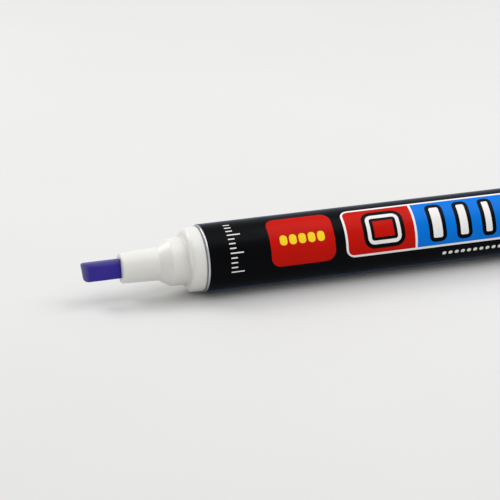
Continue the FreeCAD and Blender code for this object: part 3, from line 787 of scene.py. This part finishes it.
def round_rings(profile, count=40):
    """Rings around the barrel's axis, from (along, radius) pairs."""
    turns = [2 * pi * index / count for index in range(count)]
    return [
        [Vector((along, radius * cos(turn), AXIS_Z + radius * sin(turn))) for turn in turns]
        for along, radius in profile
    ]


def bullet_felt(bm, low, high):
    """A round felt rod with a domed point."""
    radius = (high.z - low.z) / 2 - FELT_SPARE
    profile = [(low.x, radius * 0.9), (low.x + 0.1 * MM, radius),
               (high.x - BULLET_SHOULDER, radius)]
    for step in range(1, DOME_STEPS + 1):
        turn = step / (DOME_STEPS + 0.5) * pi / 2
        profile.append((high.x - BULLET_DOME + (BULLET_DOME - FELT_SPARE) * sin(turn),
                        radius * cos(turn) ** 0.8))
    loft(bm, round_rings(profile))
    roughen(bm, 0.012 * MM, 0.4 * MM)


class MARKER_OT_nibs(bpy.types.Operator):
    """Shape the felt nibs: a slanted chisel bar and a round bullet point"""
    bl_idname = "marker.nibs"
    bl_label = "Nibs"

    def execute(self, context):
        inks = context.scene.marker_inks
        nib = context.scene.marker_nib
        low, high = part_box("chisel_nib")
        # Greyer bands of the chisel felt: the front one partly dried paint and partly painted
        # highlight, the upper one a painted highlight along its top edge.
        felt = felt_material("paint soaked felt", tuple(inks.paint), tuple(inks.dried_and_highlight),
                             (low.x + 0.1 * MM, low.x + 1.7 * MM),
                             (high.z - 0.1 * MM, high.z - 1.0 * MM))
        chisel = add_piece("chisel_felt", lambda bm: chisel_felt(bm, low, high, nib), felt,
                           "chisel_plunger")
        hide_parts("chisel_nib")
        start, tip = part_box("bullet_nib")
        # Greyer bands of the bullet felt: one at the base of the rod, and a painted highlight along
        # its top.
        round_felt = felt_material("paint soaked bullet felt", tuple(inks.paint),
                                   tuple(inks.dried_and_highlight), (start.x, start.x + MM),
                                   (tip.z, tip.z - 0.2 * MM))
        bullet = add_piece("bullet_felt", lambda bm: bullet_felt(bm, start, tip), round_felt,
                           "bullet_plunger")
        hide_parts("bullet_nib")
        return {"FINISHED"}


def coil(bm, low, high, spring):
    """A compression spring along the barrel, with its last turn closed at each end."""
    thick = spring.wire / 2
    closed = CLOSED_TURNS / spring.turns
    steps = int(spring.turns * STEPS_PER_TURN)
    sides = [2 * pi * side / WIRE_SIDES for side in range(WIRE_SIDES)]
    rings = []
    for index in range(steps + 1):
        share = index / steps
        if share < closed:
            climb = CLOSED_CLIMB * share / closed
        elif share > 1 - closed:
            climb = 1 - CLOSED_CLIMB * (1 - share) / closed
        else:
            open_share = (share - closed) / (1 - 2 * closed)
            climb = CLOSED_CLIMB + (1 - 2 * CLOSED_CLIMB) * open_share
        along = low.x + thick + (high.x - low.x - 2 * thick) * climb
        turn = 2 * pi * spring.turns * share
        out = Vector((0, cos(turn), sin(turn)))
        centre = Vector((along, 0, AXIS_Z)) + out * spring.coil / 2
        rings.append([centre + thick * (out * cos(side) + Vector((sin(side), 0, 0)))
                      for side in sides])
    loft(bm, rings)


class MARKER_OT_valves(bpy.types.Operator):
    """Finish the valves inside, and wind the valve springs as fixed coils"""
    bl_idname = "marker.valves"
    bl_label = "Valves"

    def execute(self, context):
        acetal = moulded_material("valve acetal", (0.8, 0.8, 0.77), 0.34)
        coat_nodes(both_ends("valve_stem") + both_ends("valve_cage"), acetal)
        coat_nodes(both_ends("valve_seat"), rubber_material("seat rubber", (0.03, 0.03, 0.03)))
        steel = metal_material("spring wire", (0.62, 0.62, 0.64), 0.25)
        spring = context.scene.marker_spring
        for end in ("chisel", "bullet"):
            low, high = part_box(end + "_valve_spring")
            wound = add_piece(end + "_spring_coil", lambda bm: coil(bm, low, high, spring), steel,
                              None)
            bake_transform(wound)
            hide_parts(end + "_valve_spring")
        return {"FINISHED"}


class MARKER_OT_caps(bpy.types.Operator):
    """Finish the caps and their liners"""
    bl_idname = "marker.caps"
    bl_label = "Caps"

    def execute(self, context):
        inks = context.scene.marker_inks
        shell = moulded_material("cap plastic", tuple(inks.paint), 0.33,
                                 grain_size=2600.0, worn=0.22)
        coat_nodes(both_ends("cap"), shell)
        coat_nodes(both_ends("cap_liner"),
                   moulded_material("liner plastic", (0.85, 0.85, 0.82), 0.4, subsurface=0.3))
        return {"FINISHED"}


class MARKER_OT_mixing_balls(bpy.types.Operator):
    """Finish the steel mixing balls"""
    bl_idname = "marker.mixing_balls"
    bl_label = "Mixing balls"

    def execute(self, context):
        coat_nodes(both_ends("mixing_ball"), metal_material("ball steel", (0.66, 0.66, 0.68), 0.08))
        return {"FINISHED"}


# ------------------------------------------------------------------ stage

def facing(place, target):
    """A matrix at a place whose -Z looks at a target, with its Y as upright as it can be."""
    back = (place - target).normalized()
    right = Vector((0, 0, 1)).cross(back).normalized()
    up = back.cross(right)
    turned = Matrix((right, up, back)).transposed().to_4x4()
    return Matrix.Translation(place) @ turned


def add_light(name, place, target, size, power, tint):
    """A square soft light."""
    light = bpy.data.lights.new(name, "AREA")
    light.size = size
    light.energy = power
    light.color = tint
    lamp = bpy.data.objects.new(name, light)
    lamp.matrix_world = facing(Vector(place), Vector(target))
    bpy.context.scene.collection.objects.link(lamp)


class MARKER_OT_stage(bpy.types.Operator):
    """Lay the table, hang the lights and set the camera"""
    bl_idname = "marker.stage"
    bl_label = "Stage"

    def execute(self, context):
        stage = context.scene.marker_stage
        bpy.ops.mesh.primitive_plane_add(size=6, location=(0, 0, 0))
        table = context.object
        table.name = "table_top"
        material, tree, shader, position = new_material("pale table")
        grain = effect(tree, "Fine grain", position, Fineness=900.0, Patches=12.0)
        tone = blend_colours(tree, grain.outputs["Tone"],
                             (0.61, 0.61, 0.605), (0.645, 0.645, 0.64))
        tree.links.new(tone, shader.inputs["Base Color"])
        shader.inputs["Roughness"].default_value = 0.85
        bump(tree, shader, grain.outputs["Height"], 0.1, 0.0001)
        coat(table, material)

        world = context.scene.world or bpy.data.worlds.new("studio")
        context.scene.world = world
        world.use_nodes = True
        sky = world.node_tree.nodes["Background"]
        sky.inputs["Color"].default_value = (1.0, 1.0, 1.0, 1.0)
        sky.inputs["Strength"].default_value = 0.68
        context.scene.view_settings.view_transform = "Standard"

        middle = (TUBE_LOW.x, 0, AXIS_Z)
        add_light("overhead_softbox", (0.3, -0.05, 0.5), middle,
                  size=0.5, power=2.2, tint=(1.0, 1.0, 1.0))
        add_light("left_softbox", (-0.38, 0.36, 0.46), middle,
                  size=0.3, power=1.8, tint=(1.0, 0.99, 0.97))

        aim = Vector((TUBE_LOW.x + stage.aim_along, 0, stage.aim_height))
        back = Vector((sin(stage.azimuth) * cos(stage.elevation),
                       -cos(stage.azimuth) * cos(stage.elevation), sin(stage.elevation)))
        lens = bpy.data.cameras.new("product_camera")
        lens.lens = stage.lens
        lens.clip_start = 0.01
        camera = bpy.data.objects.new("product_camera", lens)
        camera.matrix_world = facing(aim + back * stage.distance, aim)
        context.scene.collection.objects.link(camera)
        context.scene.camera = camera
        return {"FINISHED"}


STEPS = (MARKER_OT_barrel, MARKER_OT_label_print, MARKER_OT_holders, MARKER_OT_nibs,
         MARKER_OT_valves, MARKER_OT_caps, MARKER_OT_mixing_balls, MARKER_OT_stage)


class MARKER_PT_panel(bpy.types.Panel):
    """The steps of finishing the marker"""
    bl_idname = "MARKER_PT_panel"
    bl_label = "Paint marker"
    bl_space_type = "VIEW_3D"
    bl_region_type = "UI"
    bl_category = "Marker"

    def draw(self, context):
        for step in STEPS:
            self.layout.operator(step.bl_idname)


CLASSES = (MarkerInks, MarkerLabel, MarkerNib, MarkerSpring, MarkerStage, *STEPS, MARKER_PT_panel)


def register():
    for item in CLASSES:
        bpy.utils.register_class(item)
    bpy.types.Scene.marker_inks = bpy.props.PointerProperty(type=MarkerInks)
    bpy.types.Scene.marker_label = bpy.props.PointerProperty(type=MarkerLabel)
    bpy.types.Scene.marker_nib = bpy.props.PointerProperty(type=MarkerNib)
    bpy.types.Scene.marker_spring = bpy.props.PointerProperty(type=MarkerSpring)
    bpy.types.Scene.marker_stage = bpy.props.PointerProperty(type=MarkerStage)


def unregister():
    del bpy.types.Scene.marker_stage
    del bpy.types.Scene.marker_spring
    del bpy.types.Scene.marker_nib
    del bpy.types.Scene.marker_label
    del bpy.types.Scene.marker_inks
    for item in reversed(CLASSES):
        bpy.utils.unregister_class(item)


def main():
    register()
    bpy.ops.marker.barrel()
    bpy.ops.marker.label_print()
    bpy.ops.marker.holders()
    bpy.ops.marker.nibs()
    bpy.ops.marker.valves()
    bpy.ops.marker.caps()
    bpy.ops.marker.mixing_balls()
    bpy.ops.marker.stage()


if __name__ == "__main__":
    main()
